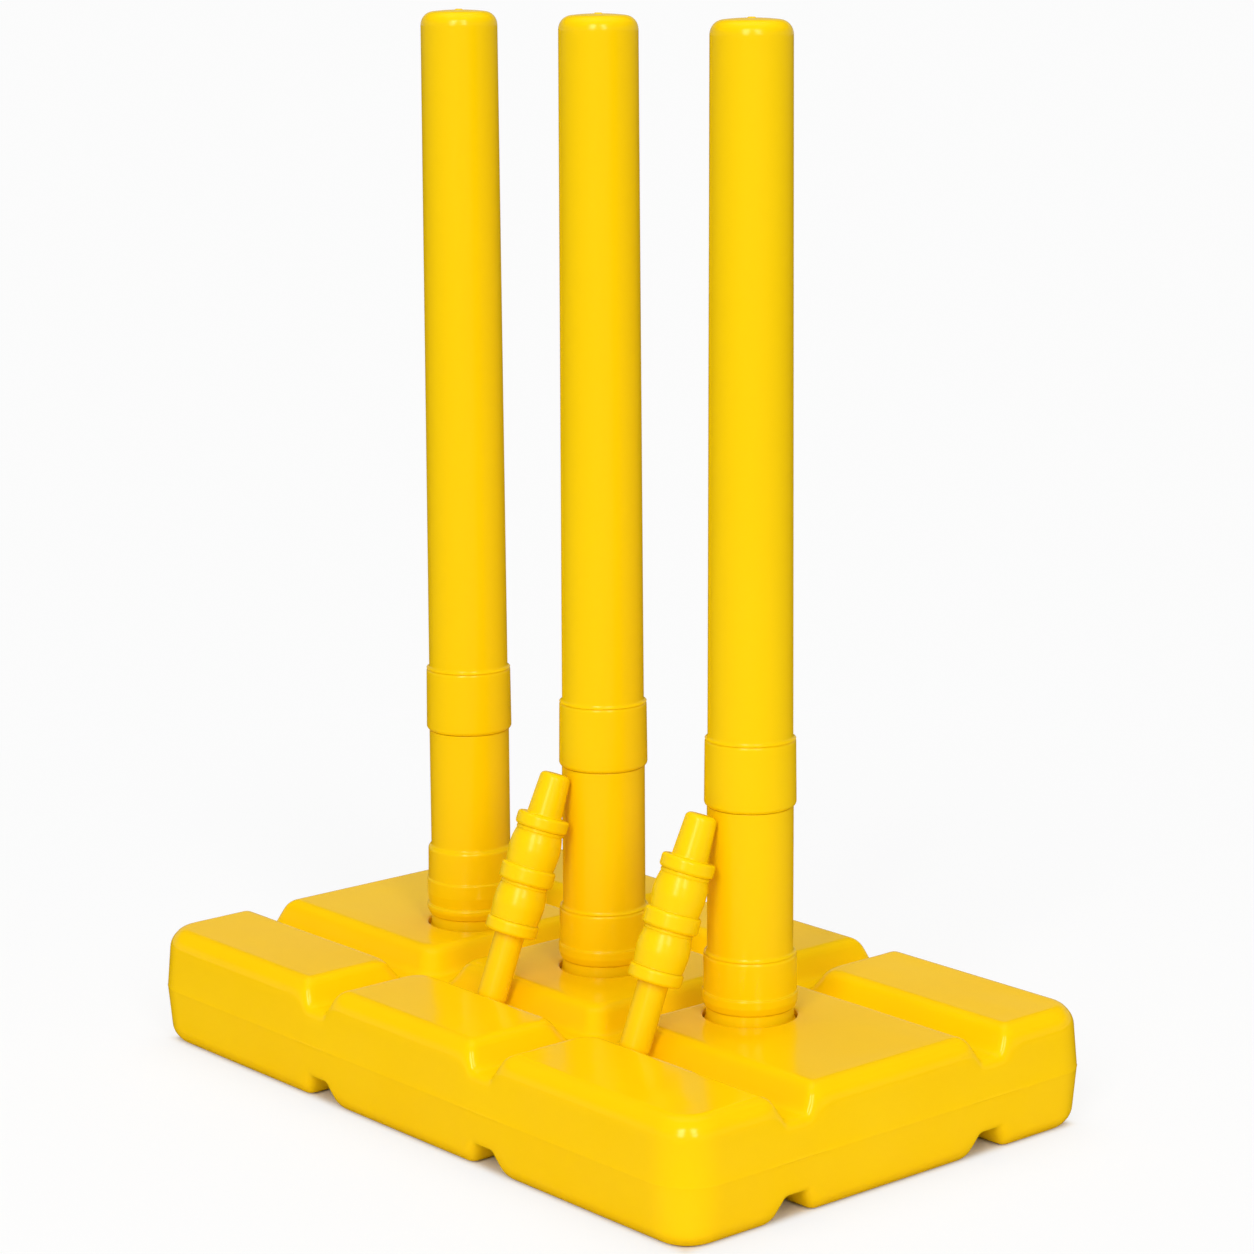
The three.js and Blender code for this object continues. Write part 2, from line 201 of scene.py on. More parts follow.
BAIL_TIP_EDGE = 2.4

# Camera, fitted to the photograph: a square frame of FRAME_PIXELS a side. CAMERA_SIGHT is in metres
FRAME_PIXELS = 1254
FOCAL_PIXELS = 3500
SENSOR = 36
CAMERA_AT = Vector((1142.7, -971.1, 512.8)) * MM
CAMERA_YAW = math.radians(49.23)
CAMERA_PITCH = math.radians(11.52)
CAMERA_ROLL = math.radians(-0.31)
CAMERA_SIGHT = 200

# Plastic. Noise scales are per metre, and the bumps' heights are in metres
PLASTIC_IOR = 1.41
PLASTIC_REFLECTION = (1, 0.94, 0.55)
NOISE_LOW = 0.3
NOISE_HIGH = 0.7
CLOUD_SCALE = 28
CLOUD_SHARE = 0.8
SPECK_SCALE = 700
SPECK_LOW = 0.62
SPECK_HIGH = 0.75
SPECK_SHARE = 0.25
# Sharp edges, found by pointiness: a painted highlight mixes their colour towards a paler one, and their
# roughness drops
WEAR_AND_HIGHLIGHT_LOW = 0.52
WEAR_AND_HIGHLIGHT_HIGH = 0.6
EDGE_HIGHLIGHT_SHARE = 0.35
RUBBED_GLOSS = -0.03
HIGHLIGHT_FACTOR = 1.04
HIGHLIGHT_LIFT = 0.012
GLOSS_SCALE = 45
GLOSS_SPREAD = 0.05
SWELL_SCALE = 38
SWELL_HEIGHT = 0.0003
GRAIN_HEIGHT = 0.00002
BUMP_STRENGTH = 0.3

# Floor. Its sizes are in metres, apart from SHADOW_REACH, how far the darkest shadow goes from the
# base. The rest of the shadow fades out between FADE_START and FADE_END from the middle. The camera
# sees FLOOR_SHADED, and light bounces off FLOOR_NEAR and, further out, FLOOR_FAR
FLOOR_REACH = 40
FLOOR_ROUGHNESS = 0.9
FADE_START = 0.25
FADE_END = 0.75
SHADOW_COVER = 0.8
SHADOW_REACH = 8
FLOOR_REFLECTED = (0.24, 0.14, 0.01)
FLOOR_NEAR = (0.93, 0.93, 0.93)
FLOOR_FAR = (0.5, 0.5, 0.5)
FLOOR_SHADED = (0.88, 0.88, 0.88)

# Backdrop: the white that the camera sees, and the greys that the plastic reflects by elevation in degrees
BACKDROP_WHITE = (0.97, 0.97, 0.97)
BACKDROP_REFLECTED = ((0, 0.6), (6, 0.3), (18, 0.27), (22, 0.02))
AMBIENT = 0.33

# Places of the colours among a Mix node's inputs and outputs
MIX_FIRST = 6
MIX_SECOND = 7
MIX_RESULT = 2

# Lamps face this point, in metres
LAMP_AIM = Vector((0, 0, 0.18))

# Meshing: the widest step of an arc, how close to a bend a long straight run has a point, how many
# sides a turned piece has, and the least bend that is shaded as an edge
ARC_STEP = math.radians(11)
ARC_LEAST_STEPS = 3
SUPPORT = 0.5
LONG_RUN = 3 * SUPPORT
STUMP_SIDES = 96
BAIL_SIDES = 72
SHARP_BEND = math.radians(40)
TINY = 1e-6


def rounded(corners):
    """Points of an outline of (across, up, rounding) corners. Each rounded corner becomes an arc, and
    a long straight run gets a point close to either end, which keeps its shading flat."""
    points = []
    for index, (across, up, rounding) in enumerate(corners):
        here = np.array((across, up), float)
        if rounding == 0 or index in (0, len(corners) - 1):
            points.append(here)
            continue
        before = np.array(corners[index - 1][:2]) - here
        after = np.array(corners[index + 1][:2]) - here
        before /= np.hypot(*before)
        after /= np.hypot(*after)
        half = math.acos(np.clip(before @ after, -1, 1)) / 2
        bisector = (before + after) / np.hypot(*(before + after))
        centre = here + bisector * rounding / math.sin(half)
        start = here + before * rounding / math.tan(half) - centre
        end = here + after * rounding / math.tan(half) - centre
        sweep = math.pi - 2 * half
        steps = max(ARC_LEAST_STEPS, math.ceil(sweep / ARC_STEP))
        for step in range(steps + 1):
            turn = sweep * step / steps
            arm = (math.sin(sweep - turn) * start + math.sin(turn) * end) / math.sin(sweep)
            points.append(centre + arm)
    supported = [points[0]]
    for start, end in zip(points, points[1:]):
        length = np.hypot(*(end - start))
        if length > LONG_RUN:
            supported.append(start + (end - start) * SUPPORT / length)
            supported.append(end - (end - start) * SUPPORT / length)
        supported.append(end)
    return np.array(supported)


def facing_out(mesh):
    """Turns the faces of a closed mesh to point out."""
    work = bmesh.new()
    work.from_mesh(mesh)
    bmesh.ops.recalc_face_normals(work, faces=work.faces)
    work.to_mesh(mesh)
    work.free()


def new_piece(name, vertices, faces, material, body, node, slot):
    """A smooth-shaded closed mesh that rides on a body and stands for a CAD node."""
    mesh = bpy.data.meshes.new(name)
    mesh.from_pydata([tuple(vertex) for vertex in np.asarray(vertices) * MM], [], faces)
    mesh.validate()
    mesh.polygons.foreach_set("use_smooth", [True] * len(mesh.polygons))
    mesh.set_sharp_from_angle(angle=SHARP_BEND)
    mesh.materials.append(material)
    piece = bpy.data.objects.new(name, mesh)
    bpy.context.collection.objects.link(piece)
    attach(piece, body)
    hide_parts(node)
    facing_out(mesh)


def turned(outline, sides):
    """Vertices and faces of an outline of (radius, height) points turned about Z, from the axis round
    the outside and back to the axis."""
    angles = np.arange(sides) * 2 * math.pi / sides
    vertices = []
    rings = []
    for radius, height in outline:
        if radius < TINY:
            rings.append([len(vertices)])
            vertices.append((0, 0, height))
            continue
        rings.append(range(len(vertices), len(vertices) + sides))
        vertices += [(radius * math.cos(angle), radius * math.sin(angle), height) for angle in angles]
    faces = []
    for lower, upper in zip(rings, rings[1:]):
        for side in range(sides):
            after = (side + 1) % sides
            if len(lower) == 1:
                faces.append((lower[0], upper[after], upper[side]))
            elif len(upper) == 1:
                faces.append((lower[side], lower[after], upper[0]))
            else:
                faces.append((lower[side], lower[after], upper[after], upper[side]))
    return np.array(vertices), faces


def groove_depth(distance):
    """Depth of a groove at a distance from its middle: a rounded lip, a straight wall, a round floor."""
    sine = math.sin(GROOVE_ANGLE)
    wall = (GROOVE_HALF - distance) * math.tan(GROOVE_ANGLE)
    lip = GROOVE_LIP - np.sqrt(np.maximum(GROOVE_LIP**2 - np.maximum(GROOVE_MOUTH - distance, 0) ** 2, 0))
    along = np.maximum(distance - GROOVE_FLOOR, 0)
    fillet = GROOVE_DEPTH - GROOVE_FILLET + np.sqrt(np.maximum(GROOVE_FILLET**2 - along**2, 0))
    depth = np.where(distance > GROOVE_MOUTH - GROOVE_LIP * sine, lip, wall)
    return np.where(distance < GROOVE_FLOOR + GROOVE_FILLET * sine, fillet, depth)


def mould(points):
    """Carries points of a sharp-edged box to the base's outside: corners and edges rounded, sides
    drawn in from the parting plane, grooves sunk into the top and the underside."""
    x, y, z = np.asarray(points, float).T
    reach_x = np.maximum(np.abs(x) - (HALF_LENGTH - CORNER), 0)
    reach_y = np.maximum(np.abs(y) - (HALF_WIDTH - CORNER), 0)
    core_x = np.abs(x) - reach_x
    core_y = np.abs(y) - reach_y
    slant = np.maximum(np.hypot(reach_x, reach_y), TINY)
    reach = np.maximum(reach_x, reach_y)
    ridge = np.where(np.abs(z - MID_HEIGHT) < TINY, PARTING_RIDGE, 0) * (reach > CORNER - TINY)

    def rounded_over(power):
        """Distances from the side and from the top or the underside once the edge between them is
        rounded: a circle's arc for a power of 2, and closer to a sharp edge above that."""
        inset = CORNER - reach
        depth = MID_HEIGHT - np.abs(z - MID_HEIGHT)
        edge_inset = np.maximum(EDGE - inset, 0) / EDGE
        edge_depth = np.maximum(EDGE - depth, 0) / EDGE
        on_edge = (edge_inset > 0) & (edge_depth > 0)
        spread = np.where(on_edge, edge_inset**power + edge_depth**power, 1) ** (1 / power)
        inset = np.where(on_edge, EDGE - EDGE * edge_inset / spread, inset)
        return inset, np.where(on_edge, EDGE - EDGE * edge_depth / spread, depth)

    # The grooves flare out at the sides, and the blocks' corners are rounded where two grooves cross
    inset = rounded_over(2)[0]
    from_cross = np.abs(np.abs(x) - GROOVE_X)
    from_long = np.abs(np.abs(y) - GROOVE_Y)
    nearest = np.minimum(from_cross, from_long)
    lean = 2 * BLOCK_CORNER**2 - (from_cross - from_long) ** 2
    blended = (from_cross + from_long + np.sqrt(np.maximum(lean, 0))) / 2 - BLOCK_CORNER
    near = np.abs(from_cross - from_long) < BLOCK_CORNER
    flare = GROOVE_FLARE - np.sqrt(GROOVE_FLARE**2 - np.clip(GROOVE_FLARE - inset, 0, GROOVE_FLARE) ** 2)
    sink = groove_depth(np.maximum(np.where(near, blended, nearest) - flare, 0))
    inset, depth = rounded_over(2 + GROOVE_EDGE_POWER * sink / GROOVE_DEPTH)
    depth = depth + sink * np.clip((MID_HEIGHT - depth) / (MID_HEIGHT - EDGE), 0, 1)
    draft = DRAFT_INSET * (1 - depth / MID_HEIGHT) * reach / CORNER
    drawn = CORNER - inset - draft + ridge
    x_out = core_x + reach_x / slant * drawn
    y_out = core_y + reach_y / slant * drawn
    z_out = MID_HEIGHT + np.sign(z - MID_HEIGHT) * (MID_HEIGHT - depth)
    # Slight unevenness of a blown wall
    wave = WAVE_HEIGHT * np.sin(x / WAVE_X + WAVE_START) * np.sin(y / WAVE_Y + z / WAVE_Z)
    z_out = z_out - np.abs(wave) * np.sign(z - MID_HEIGHT) * np.clip(inset / EDGE - 1, 0, 1)
    return np.stack((np.sign(x) * x_out, np.sign(y) * y_out, z_out), axis=1)


def grid_lines(stops):
    """Evenly spaced values between stops, each stop given with the number of steps that lead to it."""
    lines = [stops[0][0]]
    for (start, _), (end, steps) in zip(stops, stops[1:]):
        lines += [start + (end - start) * step / steps for step in range(1, steps + 1)]
    return lines


def mirrored(lines):
    """Values from 0 up, with the same values below 0 put before them."""
    return [-value for value in reversed(lines) if value > 0] + lines


def groove_stops(middle):
    """Stops across one groove, for grid_lines, from one end of its mouth to the other."""
    lip = GROOVE_MOUTH - GROOVE_LIP * math.sin(GROOVE_ANGLE)
    fillet = GROOVE_FLOOR + GROOVE_FILLET * math.sin(GROOVE_ANGLE)
    inner = [(GROOVE_MOUTH + GROOVE_FLARE, 3), (GROOVE_MOUTH, 4), (lip, 6), (fillet, 4)]
    outer = [(fillet, 4), (lip, 4), (GROOVE_MOUTH, 6), (GROOVE_MOUTH + SUPPORT, 1)]
    rising = [(middle - offset, steps) for offset, steps in inner]
    return rising + [(middle, 4)] + [(middle + offset, steps) for offset, steps in outer]


def base_mesh():
    """The base's vertices and faces. Its outside starts as a box with a fine grid on each side, with
    round holes for the sockets and the blow hole, and is then moulded to shape."""
    patch_half_x = STUMPS["right"] - groove_stops(GROOVE_X)[-1][0]
    x_lines = mirrored(grid_lines([
        (0, 0), (patch_half_x, 9), *groove_stops(GROOVE_X),
        (STUMPS["right"] + patch_half_x, 18), (BLOW_HOLE_X - PATCH_HALF_BLOW, 5),
        (BLOW_HOLE_X + PATCH_HALF_BLOW, 6), (HALF_LENGTH - CORNER, 2),
        (HALF_LENGTH - EDGE - SUPPORT, 4), (HALF_LENGTH - EDGE, 1), (HALF_LENGTH, 7),
    ]))
    y_lines = mirrored(grid_lines([
        (0, 0), (PATCH_HALF_Y, 10), *groove_stops(GROOVE_Y), (HALF_WIDTH - CORNER, 11),
        (HALF_WIDTH - EDGE - SUPPORT, 4), (HALF_WIDTH - EDGE, 1), (HALF_WIDTH, 7),
    ]))
    half_z = [
        (0, 0), (SUPPORT, 1), (PATCH_HALF_BLOW, 3), (MID_HEIGHT - EDGE - SUPPORT, 4),
        (MID_HEIGHT - EDGE, 1), (MID_HEIGHT, 7),
    ]
    z_lines = [MID_HEIGHT + value for value in mirrored(grid_lines(half_z))]
    vertices = []
    sunk = {}
    index = {}
    faces = []

    def vertex(point):
        key = tuple(round(value, 4) for value in point)
        if key not in index:
            index[key] = len(vertices)
            vertices.append(key)
        return index[key]

    def sheet(make, across, up, holes=()):
        """Quads over a grid, left out inside the holes' boxes."""
        for left, right in zip(across, across[1:]):
            for low, high in zip(up, up[1:]):
                middle = ((left + right) / 2, (low + high) / 2)
                inside = any(
                    abs(middle[0] - hole_x) < half_x and abs(middle[1] - hole_y) < half_y
                    for hole_x, hole_y, half_x, half_y in holes
                )
                if not inside:
                    ring = ((left, low), (right, low), (right, high), (left, high))
                    faces.append(tuple(vertex(make(*point)) for point in ring))

    def round_hole(make, across, up, hole, radius, rim, depth, inward):
        """Fills a hole's box with rings from its outline to a circle, then a rounded rim, a wall and a
        floor that go in."""
        middle_x, middle_y, half_x, half_y = hole
        low_x, high_x = middle_x - half_x, middle_x + half_x
        low_y, high_y = middle_y - half_y, middle_y + half_y
        xs = [value for value in across if low_x - TINY < value < high_x + TINY]
        ys = [value for value in up if low_y - TINY < value < high_y + TINY]
        outline = [(value, ys[0]) for value in xs[:-1]] + [(xs[-1], value) for value in ys[:-1]]
        outline += [(value, ys[-1]) for value in xs[:0:-1]] + [(xs[0], value) for value in ys[:0:-1]]
        ring = [vertex(make(*point)) for point in outline]
        turns = [math.atan2(point[1] - middle_y, point[0] - middle_x) for point in outline]

        def circle(size, sink):
            made = []
            for turn in turns:
                place = make(middle_x + size * math.cos(turn), middle_y + size * math.sin(turn))
                made.append(len(vertices))
                vertices.append(place)
                sunk[made[-1]] = (inward, sink)
            return made

        rings = [ring]
        outside = radius + rim
        for share in (0.5, 1):
            made = []
            for point, turn in zip(outline, turns):
                target = (middle_x + outside * math.cos(turn), middle_y + outside * math.sin(turn))
                place = [start + (end - start) * share for start, end in zip(point, target)]
                made.append(vertex(make(*place)))
            rings.append(made)
        rim_steps = 5
        for step in range(1, rim_steps + 1):
            turn = math.pi / 2 * step / rim_steps
            rings.append(circle(radius + rim * (1 - math.sin(turn)), rim * (1 - math.cos(turn))))
        rings.append(circle(radius, rim + SUPPORT))
        rings.append(circle(radius, depth - SUPPORT))
        rings.append(circle(radius, depth))
        rings.append(circle(radius / 2, depth))
        for outer, inner in zip(rings, rings[1:]):
            for side in range(len(outer)):
                after = (side + 1) % len(outer)
                faces.append((outer[side], outer[after], inner[after], inner[side]))
        faces.append(tuple(rings[-1]))

    def on_top(x, y):
        return (x, y, BASE_HEIGHT)

    def on_back(x, z):
        return (x, HALF_WIDTH, z)

    sockets = [(x, 0, patch_half_x, PATCH_HALF_Y) for x in STUMPS.values()]
    blow_hole = (BLOW_HOLE_X, MID_HEIGHT, PATCH_HALF_BLOW, PATCH_HALF_BLOW)
    sheet(on_top, x_lines, y_lines, sockets)
    sheet(lambda x, y: (x, y, 0), x_lines, y_lines)
    sheet(lambda x, z: (x, -HALF_WIDTH, z), x_lines, z_lines)
    sheet(on_back, x_lines, z_lines, [blow_hole])
    sheet(lambda y, z: (-HALF_LENGTH, y, z), y_lines, z_lines)
    sheet(lambda y, z: (HALF_LENGTH, y, z), y_lines, z_lines)
    for socket in sockets:
        round_hole(on_top, x_lines, y_lines, socket, SOCKET_RADIUS, SOCKET_RIM, SOCKET_DEPTH, (0, 0, -1))
    round_hole(
        on_back, x_lines, z_lines, blow_hole, BLOW_HOLE_RADIUS, BLOW_HOLE_RIM, BLOW_HOLE_DEPTH, (0, -1, 0)
    )
    moulded = mould(vertices)
    for number, (inward, sink) in sunk.items():
        moulded[number] += np.array(inward) * sink
    return moulded, faces


def upper_outline():
    """A stump's upper tube, from the ceiling of its collar's bore, over the outside, to the top."""
    collar_top = JOINT_Z + COLLAR_HEIGHT
    dome_top = TOP_Z - PIP_HEIGHT
    slope = 2 * DOME_RISE / DOME_REACH
    side_top = dome_top - DOME_RISE - (TUBE_TOP - DOME_REACH) * slope
    dome = [
        (radius, dome_top - DOME_RISE * (radius / DOME_REACH) ** 2, 0)
        for radius in np.arange(DOME_REACH, DOME_MIDDLE, -DOME_STEP)
    ]
    return rounded([
        (0, JOINT_Z + COLLAR_BORE_HEIGHT, 0),
        (COLLAR_BORE, JOINT_Z + COLLAR_BORE_HEIGHT, 0),
        (COLLAR_BORE, JOINT_Z, COLLAR_BORE_EDGE),
        (COLLAR, JOINT_Z, STUMP_EDGE),
        (COLLAR_TOP, collar_top, STUMP_EDGE),
        (TUBE_ROOT, collar_top + LEDGE, STUMP_FILLET),
        (TUBE_TOP, side_top, TOP_EDGE),
        *dome,
        (PIP_RADIUS, dome_top, PIP_EDGE),
        (PIP_RADIUS - PIP_TAPER, TOP_Z, PIP_EDGE),
        (0, TOP_Z, 0),
    ])


def lower_outline(tall):
    """A stump's lower tube, from the bottom of its plug to the floor of its spigot's bore."""
    bead_z = BASE_HEIGHT + BEAD_LIFT
    shoulder_z = JOINT_Z - SEAT_GAP
    bore = SPIGOT - SPIGOT_WALL
    if tall:
        bead_top = bead_z + TALL_BEAD_HEIGHT
        ring_top = bead_top + RING_HEIGHT
        foot_top = ring_top + TALL_COLLAR_HEIGHT
        foot = [
            (BEAD - BEAD_UNDERCUT, bead_z + LEDGE, BEAD_EDGE),
            (BEAD, bead_z + TALL_BEAD_SLOPE, TALL_BEAD_SLOPE_ROUND),
            (BEAD, bead_top, BEAD_EDGE),
            (RING - RING_TAPER, bead_top + RING_LEDGE, RING_FILLET),
            (RING, ring_top - RING_FULL_HEIGHT, RING_TAPER_ROUND),
            (RING, ring_top, RING_EDGE),
            (FOOT_COLLAR, ring_top + LEDGE, FOOT_COLLAR_FILLET),
            (FOOT_COLLAR - TALL_COLLAR_TAPER, foot_top, STUMP_EDGE),
            (TUBE, foot_top + TALL_COLLAR_LEDGE, STUMP_FILLET),
        ]
    else:
        bead_top = bead_z + BEAD_HEIGHT
        foot_top = bead_top + FOOT_COLLAR_HEIGHT
        foot = [
            (BEAD - BEAD_UNDERCUT, bead_z + LEDGE, BEAD_EDGE),
            (BEAD - BEAD_INSET, bead_z + BEAD_SLOPE, BEAD_SLOPE_ROUND),
            (BEAD - BEAD_INSET, bead_top, BEAD_EDGE),
            (FOOT_COLLAR, bead_top + LEDGE, FOOT_COLLAR_FILLET),
            (FOOT_COLLAR, foot_top, STUMP_EDGE),
            (TUBE, foot_top + LEDGE, STUMP_FILLET),
        ]
    neck_z = BASE_HEIGHT - NECK_TOP_DEPTH
    return rounded([
        (0, PLUG_Z, 0),
        (PLUG, PLUG_Z, PLUG_EDGE),
        (PLUG, neck_z - NECK_TAPER_BELOW, PLUG_EDGE),
        (NECK + NECK_TAPER_FOOT, neck_z + NECK_TAPER_ABOVE, NECK_TAPER_FILLET),
        (NECK, bead_z, NECK_FILLET),
        *foot,
        (TUBE, shoulder_z, SHOULDER_EDGE),
        (SPIGOT, shoulder_z, SHOULDER_FILLET),
        (SPIGOT, SPIGOT_Z, SPIGOT_EDGE),
        (bore, SPIGOT_Z, SPIGOT_BORE_EDGE),
        (bore, shoulder_z, 0),
        (0, shoulder_z, 0),
    ])


def barrel(bottom):
    """Corners of one barrel of a bail, from the flange or ring below: a short foot, a belly that is widest
    in its lower half, a neck, and a small bead under the flange or ring above."""
    top = bottom + BARREL_LENGTH
    return [
        (BARREL_FOOT, bottom, BARREL_FOOT_EDGE),
        (BARREL_FOOT + BARREL_TAPER, bottom + BARREL_FOOT_HEIGHT, BARREL_FOOT_ROUND),
        (BARREL_BELLY, bottom + BELLY_LOW_HEIGHT, BELLY_LOW_ROUND),
        (BARREL_BELLY - BARREL_TAPER, top - BELLY_HIGH_DEPTH, BELLY_HIGH_ROUND),
        (BARREL_NECK + BARREL_TAPER, top - BARREL_NECK_DEPTH, BARREL_NECK_ROUND),
        (BARREL_NECK, top - BARREL_BEAD_SLOPE_DEPTH, BARREL_FILLET),
        (BARREL_BEAD, top - BARREL_BEAD_LOW_DEPTH, BARREL_BEAD_EDGE),
        (BARREL_BEAD, top - BARREL_BEAD_HIGH_DEPTH, BARREL_BEAD_EDGE),
        (BARREL_NECK, top, BARREL_FILLET),
    ]


def bail_outline():
    """A bail standing on the origin, from the middle of its foot to the middle of its tip."""
    barrel_low = STEM_LENGTH + FLANGE_THICKNESS
    ring_z = barrel_low + BARREL_LENGTH
    barrel_high = ring_z + BAIL_RING_THICKNESS
    flange_high = barrel_high + BARREL_LENGTH
    spigot_z = flange_high + FLANGE_THICKNESS
    return rounded([
        (0, 0, 0),
        (STEM, 0, STEM_END),
        (STEM, STEM_LENGTH, STEM_FILLET),
        (FLANGE, STEM_LENGTH, BAIL_EDGE),
        (FLANGE, barrel_low, BAIL_EDGE),
        *barrel(barrel_low),
        (BAIL_RING, ring_z, BAIL_EDGE),
        (BAIL_RING, barrel_high, BAIL_EDGE),
        *barrel(barrel_high),
        (FLANGE, flange_high, BAIL_EDGE),
        (FLANGE, spigot_z, BAIL_EDGE),
        (BAIL_SPIGOT, spigot_z, BAIL_SPIGOT_FILLET),
        (BAIL_TIP, BAIL_LENGTH, BAIL_TIP_EDGE),
        (0, BAIL_LENGTH, 0),
    ])


def bail_placed(node, vertices):
    """Moves a bail's vertices from the origin to where its CAD node stands."""
    corners = np.array([vertex.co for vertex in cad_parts[node].data.vertices], float)
    corners = np.unique(np.round(corners / MM, 3), axis=0)
    middle = corners.mean(axis=0)
    axis = np.linalg.svd(corners - middle)[2][0]
    axis *= np.sign(axis[2])
    foot = middle + axis * ((corners - middle) @ axis).min()
    turn = Vector((0, 0, 1)).rotation_difference(Vector(axis)).to_matrix()
    return vertices @ np.array(turn).T + foot


def feed(tree, value, socket):
    """Gives a socket a number, a colour or the output of another node."""
    if isinstance(value, bpy.types.NodeSocket):
        tree.links.new(value, socket)
    elif isinstance(value, tuple):
        socket.default_value = (*value, 1)
    else:
        socket.default_value = value


def mixed(tree, factor, first, second):
    """The first colour where the factor is 0, and the second where it is 1."""
    node = tree.nodes.new("ShaderNodeMix")
    node.data_type = "RGBA"
    feed(tree, factor, node.inputs["Factor"])
    feed(tree, first, node.inputs[MIX_FIRST])
    feed(tree, second, node.inputs[MIX_SECOND])
    return node.outputs[MIX_RESULT]


def maths(tree, operation, first, second=0):
    """The result of a sum on one or two values."""
    node = tree.nodes.new("ShaderNodeMath")
    node.operation = operation
    feed(tree, first, node.inputs[0])
    feed(tree, second, node.inputs[1])
    return node.outputs[0]


def ranged(tree, value, low_in, high_in, low_out, high_out, easing="LINEAR"):
    """A value carried from one range to another and held at its ends."""
    node = tree.nodes.new("ShaderNodeMapRange")
    node.interpolation_type = easing
    feed(tree, value, node.inputs["Value"])
    ends = (("From Min", low_in), ("From Max", high_in), ("To Min", low_out), ("To Max", high_out))
    for name, end in ends:
        feed(tree, end, node.inputs[name])
    return node.outputs["Result"]


def plastic(name, colour, deep_colour, smoothest, grain_scale, streak):
    """Semi-gloss moulded polyethylene: slightly uneven colour, fine grain, and edges rubbed smoother and
    painted paler as a highlight.
    smoothest is its least roughness away from those edges, and streak stretches the unevenness of its
    colour, gloss and swell along Z, the way the plastic was drawn."""
    material = bpy.data.materials.new(name)
    material.use_nodes = True
    tree = material.node_tree
    shader = tree.nodes["Principled BSDF"]
    feed(tree, PLASTIC_IOR, shader.inputs["IOR"])
    feed(tree, PLASTIC_REFLECTION, shader.inputs["Specular Tint"])
    place = tree.nodes.new("ShaderNodeTexCoord").outputs["Object"]
    stretch = tree.nodes.new("ShaderNodeMapping")
    stretch.inputs["Scale"].default_value = (1, 1, 1 / streak)
    feed(tree, place, stretch.inputs["Vector"])
    stretched = stretch.outputs["Vector"]

    def noise(vector, scale, detail, roughness=0.5):
        node = tree.nodes.new("ShaderNodeTexNoise")
        feed(tree, scale, node.inputs["Scale"])
        feed(tree, detail, node.inputs["Detail"])
        feed(tree, roughness, node.inputs["Roughness"])
        feed(tree, vector, node.inputs["Vector"])
        return node.outputs["Fac"]

    def bump(height, distance):
        node = tree.nodes.new("ShaderNodeBump")
        feed(tree, BUMP_STRENGTH, node.inputs["Strength"])
        feed(tree, distance, node.inputs["Distance"])
        feed(tree, height, node.inputs["Height"])
        return node

    clouds = ranged(tree, noise(stretched, CLOUD_SCALE, detail=4), NOISE_LOW, NOISE_HIGH, 0, CLOUD_SHARE)
    body = mixed(tree, clouds, colour, deep_colour)
    specks = ranged(tree, noise(place, SPECK_SCALE, detail=2), SPECK_LOW, SPECK_HIGH, 0, SPECK_SHARE)
    speckled = mixed(tree, specks, body, deep_colour)
    # Painted highlight: sharp convex edges are mixed towards a paler colour
    sharpness = tree.nodes.new("ShaderNodeNewGeometry").outputs["Pointiness"]
    edge_highlight = ranged(tree, sharpness, WEAR_AND_HIGHLIGHT_LOW, WEAR_AND_HIGHLIGHT_HIGH, 0, EDGE_HIGHLIGHT_SHARE)
    highlight_colour = tuple(min(1, value * HIGHLIGHT_FACTOR + HIGHLIGHT_LIFT) for value in colour)
    feed(tree, mixed(tree, edge_highlight, speckled, highlight_colour), shader.inputs["Base Color"])

    uneven = noise(stretched, GLOSS_SCALE, detail=5, roughness=0.6)
    gloss = ranged(tree, uneven, NOISE_LOW, NOISE_HIGH, smoothest, smoothest + GLOSS_SPREAD)
    worn = ranged(tree, sharpness, WEAR_AND_HIGHLIGHT_LOW, WEAR_AND_HIGHLIGHT_HIGH, 0, RUBBED_GLOSS)
    feed(tree, maths(tree, "ADD", gloss, worn), shader.inputs["Roughness"])

    fine = bump(noise(place, grain_scale, detail=2), GRAIN_HEIGHT)
    broad = bump(noise(stretched, SWELL_SCALE, detail=2), SWELL_HEIGHT)
    feed(tree, fine.outputs["Normal"], broad.inputs["Normal"])
    feed(tree, broad.outputs["Normal"], shader.inputs["Normal"])
    return material


def build_pieces():
    """The three plastics and the nine pieces."""
    base_plastic = plastic(
        "base_plastic", colour=(0.925, 0.572, 0.001), deep_colour=(0.915, 0.55, 0.001),
        smoothest=0.14, grain_scale=900, streak=1,
    )
    stump_plastic = plastic(
        "stump_plastic", colour=(0.945, 0.612, 0.001), deep_colour=(0.935, 0.592, 0.001),
        smoothest=0.18, grain_scale=1100, streak=5,
    )
    bail_plastic = plastic(
        "bail_plastic", colour=(0.955, 0.635, 0.001), deep_colour=(0.945, 0.615, 0.001),
        smoothest=0.24, grain_scale=1300, streak=2,
    )
    new_piece("moulded_base", *base_mesh(), base_plastic, "base", "base", "base_plastic")
    for side, middle in STUMPS.items():
        for half, outline in (("upper", upper_outline()), ("lower", lower_outline(side == "left"))):
            node = f"{half}_stump_{side}"
            vertices, faces = turned(outline, STUMP_SIDES)
            placed = vertices + (middle, 0, 0)
            new_piece(f"moulded_{node}", placed, faces, stump_plastic, node, node, "stump_plastic")
    for side in ("left", "right"):
        node = f"bail_{side}"
        vertices, faces = turned(bail_outline(), BAIL_SIDES)
        placed = bail_placed(node, vertices)
        new_piece(f"moulded_{node}", placed, faces, bail_plastic, node, node, "bail_plastic")


